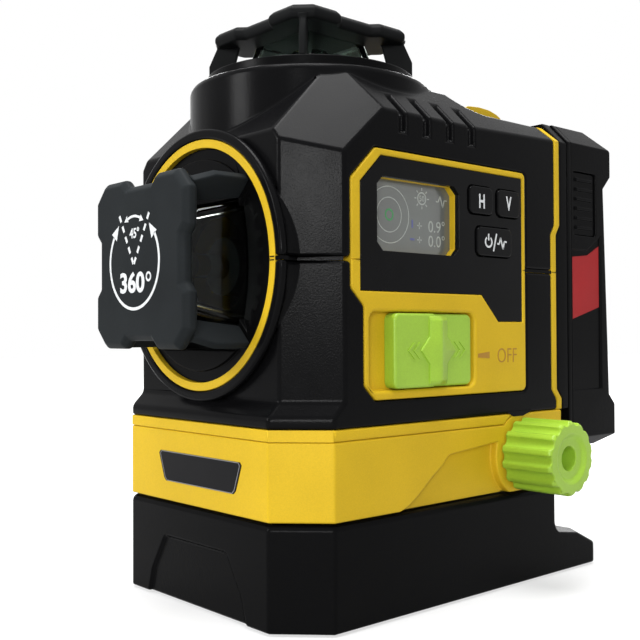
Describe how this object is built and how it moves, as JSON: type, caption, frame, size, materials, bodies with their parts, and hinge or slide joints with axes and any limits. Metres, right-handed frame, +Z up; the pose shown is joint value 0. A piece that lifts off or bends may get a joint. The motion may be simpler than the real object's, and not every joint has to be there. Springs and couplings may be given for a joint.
{
  "type": "laser level",
  "caption": "Self-levelling laser level with top and side 360 degree windows, key panel, pendulum lock slider and clip-on battery pack, on a worm-driven swivel base.",
  "frame": {"origin": "mouth of the tripod thread: the swivel axis at the height of the feet's underside", "axes": "+Z up along the swivel axis, control panel facing -Y, vertical-plane window facing -X, battery pack at +X"},
  "size_m": [0.1485, 0.098, 0.1537],
  "materials": {
    "black_housing": "fine matte grain",
    "black_armour": "fine matte grain, moulded over the shell",
    "yellow_shell": "satin",
    "gloss_black": "gloss",
    "lime": "satin",
    "slate_cap": "satin",
    "clear_glass": "clear",
    "display": "reflective liquid crystal panel",
    "steel": "bright",
    "brass": "machined",
    "aluminium": "machined",
    "nylon": "smooth",
    "rubber": "matte",
    "board": "circuit board"
  },
  "bodies": {
    "base": {"base_housing": "black_housing", "base_cover": "black_housing", "thread_insert": "brass", "foot_pads": "rubber", "base_screws": "steel", "swivel_spindle": "steel", "spring_washer": "steel", "spindle_nut": "steel", "glide_ring": "nylon"},
    "wheel": {"worm_wheel": "brass"},
    "housing": {"lower_housing": "yellow_shell", "worm_bushes": "brass", "band_screws": "steel", "lower_armour": "black_armour", "upper_armour": "black_armour", "lower_shell": "yellow_shell", "upper_shell": "yellow_shell", "shell_screws": "steel", "control_window": "gloss_black", "display_module": "display", "key_board": "board", "side_cover": "black_housing", "side_cap": "slate_cap", "side_glass": "clear_glass", "top_cover": "black_housing", "top_cap": "slate_cap", "top_glass": "clear_glass", "dock_block": "black_housing", "dock_contacts": "brass", "main_board": "board", "suspension_bracket": "aluminium", "pivot_bearings": "steel", "damper_magnets": "steel"},
    "knob": {"fine_knob": "lime", "worm_shaft": "steel"},
    "h_key": {"h_button": "gloss_black"},
    "v_key": {"v_button": "gloss_black"},
    "power_key": {"power_button": "gloss_black"},
    "lock_slider": {"lock_switch": "lime"},
    "lock_plunger": {"lock_pad": "rubber"},
    "pack": {"pack_case": "black_housing", "pack_lid": "black_housing", "battery_cells": "aluminium", "pack_contacts": "brass"},
    "release_key_front": {"release_front": "black_housing"},
    "release_key_rear": {"release_rear": "black_housing"},
    "gimbal": {"gimbal_ring": "aluminium", "gimbal_pins": "steel"},
    "pendulum": {"pendulum_frame": "aluminium", "pendulum_pins": "steel", "h_laser_tube": "aluminium", "v_laser_tube": "aluminium", "h_cone_lens": "clear_glass", "v_cone_lens": "clear_glass", "damper_weight": "brass"}
  },
  "joints": [
    {"name": "coarse_swivel", "type": "hinge", "parent": "base", "child": "wheel", "pos_m": [0, 0, 0.0255], "axis": [0, 0, 1], "continuous": true},
    {"name": "fine_swivel", "type": "hinge", "parent": "wheel", "child": "housing", "pos_m": [0, 0, 0.036], "axis": [0, 0, 1], "continuous": true},
    {"name": "knob_turn", "type": "hinge", "parent": "housing", "child": "knob", "pos_m": [0.033, -0.0416, 0.036], "axis": [0, 1, 0], "continuous": true},
    {"name": "h_press", "type": "slide", "parent": "housing", "child": "h_key", "axis": [0, 1, 0], "range_m": [0, 0.0008], "stiffness_N_per_m": 1500},
    {"name": "v_press", "type": "slide", "parent": "housing", "child": "v_key", "axis": [0, 1, 0], "range_m": [0, 0.0008], "stiffness_N_per_m": 1500},
    {"name": "power_press", "type": "slide", "parent": "housing", "child": "power_key", "axis": [0, 1, 0], "range_m": [0, 0.0008], "stiffness_N_per_m": 1500},
    {"name": "lock_slide", "type": "slide", "parent": "housing", "child": "lock_slider", "axis": [-1, 0, 0], "range_m": [0, 0.0048]},
    {"name": "pad_drop", "type": "slide", "parent": "housing", "child": "lock_plunger", "axis": [0, 0, -1], "range_m": [0, 0.002]},
    {"name": "pack_slide", "type": "slide", "parent": "housing", "child": "pack", "axis": [1, 0, 0], "range_m": [0, 0.03]},
    {"name": "release_front_press", "type": "slide", "parent": "pack", "child": "release_key_front", "axis": [0, 1, 0], "range_m": [0, 0.0018], "stiffness_N_per_m": 1500},
    {"name": "release_rear_press", "type": "slide", "parent": "pack", "child": "release_key_rear", "axis": [0, -1, 0], "range_m": [0, 0.0018], "stiffness_N_per_m": 1500},
    {"name": "gimbal_tilt", "type": "hinge", "parent": "housing", "child": "gimbal", "pos_m": [-0.0087, 0, 0.115], "axis": [0, 1, 0], "range_deg": [-3.5, 3.5]},
    {"name": "pendulum_tilt", "type": "hinge", "parent": "gimbal", "child": "pendulum", "pos_m": [-0.0087, 0, 0.115], "axis": [1, 0, 0], "range_deg": [-3.5, 3.5]}
  ],
  "couplings": [
    {"joint": "knob_turn", "follows": "fine_swivel", "ratio": 54},
    {"joint": "pad_drop", "follows": "lock_slide", "ratio": 0.41667}
  ]
}
